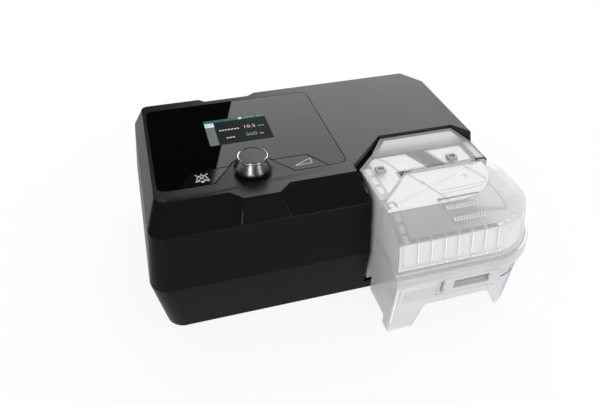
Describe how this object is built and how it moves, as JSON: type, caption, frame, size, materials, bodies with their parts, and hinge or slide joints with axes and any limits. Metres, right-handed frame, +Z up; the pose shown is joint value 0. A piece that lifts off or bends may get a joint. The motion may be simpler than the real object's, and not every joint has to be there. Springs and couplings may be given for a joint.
{
  "type": "cpap machine",
  "caption": "Bedside breathing-therapy machine with a glossy control panel, screen, press-and-turn dial, flush buttons and a slide-out clear water tank with a hinged lid.",
  "frame": {"origin": "on the table, under the middle of the whole machine with its tank in place", "axes": "+X to the right of someone facing the machine, +Y to its back, +Z up"},
  "size_m": [0.324, 0.24, 0.1325],
  "materials": {
    "body_plastic": "fine textured near-black plastic",
    "top_plastic": "satin dark charcoal plastic",
    "black_glass": "glossy black glass",
    "screen": "small colour display, lit",
    "satin_metal": "satin turned metal",
    "bright_ring": "polished ring",
    "dark_cap": "flat dark grey cap",
    "steel": "plain steel",
    "inner_grey": "moulded inner part",
    "button_black": "black, flush with the glass",
    "board_green": "circuit board",
    "inner_light": "light grey moulding",
    "motor_steel": "motor can",
    "rubber_black": "soft black rubber",
    "filter_white": "filter fleece",
    "foam_grey": "open foam",
    "heat_metal": "bare heat plate",
    "clear_plastic": "clear grey plastic",
    "soft_seal": "translucent silicone",
    "dark_trim": "dark clip",
    "mark_blue": "printed blue line"
  },
  "bodies": {
    "body": {"base_shell": "body_plastic", "middle_frame": "body_plastic", "top_cover": "top_plastic", "bay_liner": "body_plastic", "control_glass": "black_glass", "display_panel": "screen", "encoder": "inner_grey", "button_switches": "inner_grey", "main_board": "board_green", "board_screws": "steel", "blower_scroll": "inner_light", "blower_cover": "inner_light", "blower_motor": "motor_steel", "blower_mounts": "rubber_black", "air_filter": "filter_white", "muffler_foam": "foam_grey", "blower_duct": "rubber_black", "outlet_duct": "body_plastic", "bay_seals": "rubber_black", "heater_springs": "steel", "power_inlet": "body_plastic", "card_socket": "steel", "speaker": "inner_grey", "rubber_feet": "rubber_black", "base_screws": "steel"},
    "dial_shaft": {"knob_shaft": "steel"},
    "dial": {"knob_body": "satin_metal", "knob_ring": "bright_ring", "knob_cap": "dark_cap"},
    "mute": {"mute_button": "button_black"},
    "ramp": {"ramp_button": "button_black"},
    "rotor": {"impeller": "inner_light"},
    "heater": {"heater_plate": "heat_metal"},
    "filter_flap": {"filter_door": "body_plastic"},
    "card_flap": {"card_door": "body_plastic"},
    "tank": {"tank_tub": "clear_plastic", "tank_heat_plate": "heat_metal", "tank_rear_top": "clear_plastic", "lid_gasket": "soft_seal", "lid_hinge_pin": "steel", "duct_seal": "rubber_black", "tank_clips": "dark_trim", "level_mark": "mark_blue"},
    "lid": {"tank_lid": "clear_plastic", "air_guide": "clear_plastic"},
    "latch": {"tank_latch": "clear_plastic"}
  },
  "joints": [
    {"name": "tank_slide", "type": "slide", "parent": "body", "child": "tank", "axis": [0, -1, 0], "range_m": [0, 0.13]},
    {"name": "lid_hinge", "type": "hinge", "parent": "tank", "child": "lid", "pos_m": [0.09324, -0.03947, 0.108], "axis": [-1, 0, 0], "range_deg": [0, 100]},
    {"name": "latch_pull", "type": "hinge", "parent": "tank", "child": "latch", "pos_m": [0.09094, -0.114, 0.043], "axis": [1, 0, 0], "range_deg": [0, 12], "stiffness_Nm_per_rad": 0.5, "springref_deg": -11.46},
    {"name": "dial_press", "type": "slide", "parent": "body", "child": "dial_shaft", "axis": [0, 0, -1], "range_m": [0, 0.0007], "stiffness_N_per_m": 1500, "springref_m": -0.001},
    {"name": "dial_turn", "type": "hinge", "parent": "dial_shaft", "child": "dial", "pos_m": [-0.06506, -0.01367, 0.124], "axis": [0, 0, 1], "continuous": true},
    {"name": "mute_press", "type": "slide", "parent": "body", "child": "mute", "axis": [0, 0, -1], "range_m": [0, 0.0008], "stiffness_N_per_m": 600, "springref_m": -0.001},
    {"name": "ramp_press", "type": "slide", "parent": "body", "child": "ramp", "axis": [0, 0, -1], "range_m": [0, 0.0008], "stiffness_N_per_m": 600, "springref_m": -0.001},
    {"name": "impeller_spin", "type": "hinge", "parent": "body", "child": "rotor", "pos_m": [-0.08006, 0.04, 0.04], "axis": [0, 0, 1], "continuous": true},
    {"name": "heater_press", "type": "slide", "parent": "body", "child": "heater", "axis": [0, 0, -1], "range_m": [0, 0.0012], "stiffness_N_per_m": 2000, "springref_m": -0.001, "deforming": ["heater_springs"]},
    {"name": "filter_door_hinge", "type": "hinge", "parent": "body", "child": "filter_flap", "pos_m": [-0.115, 0.1156, 0.0618], "axis": [-1, 0, 0], "range_deg": [0, 70]},
    {"name": "card_door_hinge", "type": "hinge", "parent": "body", "child": "card_flap", "pos_m": [-0.096, 0.1079, 0.015], "axis": [-1, 0, 0], "range_deg": [0, 90]}
  ]
}
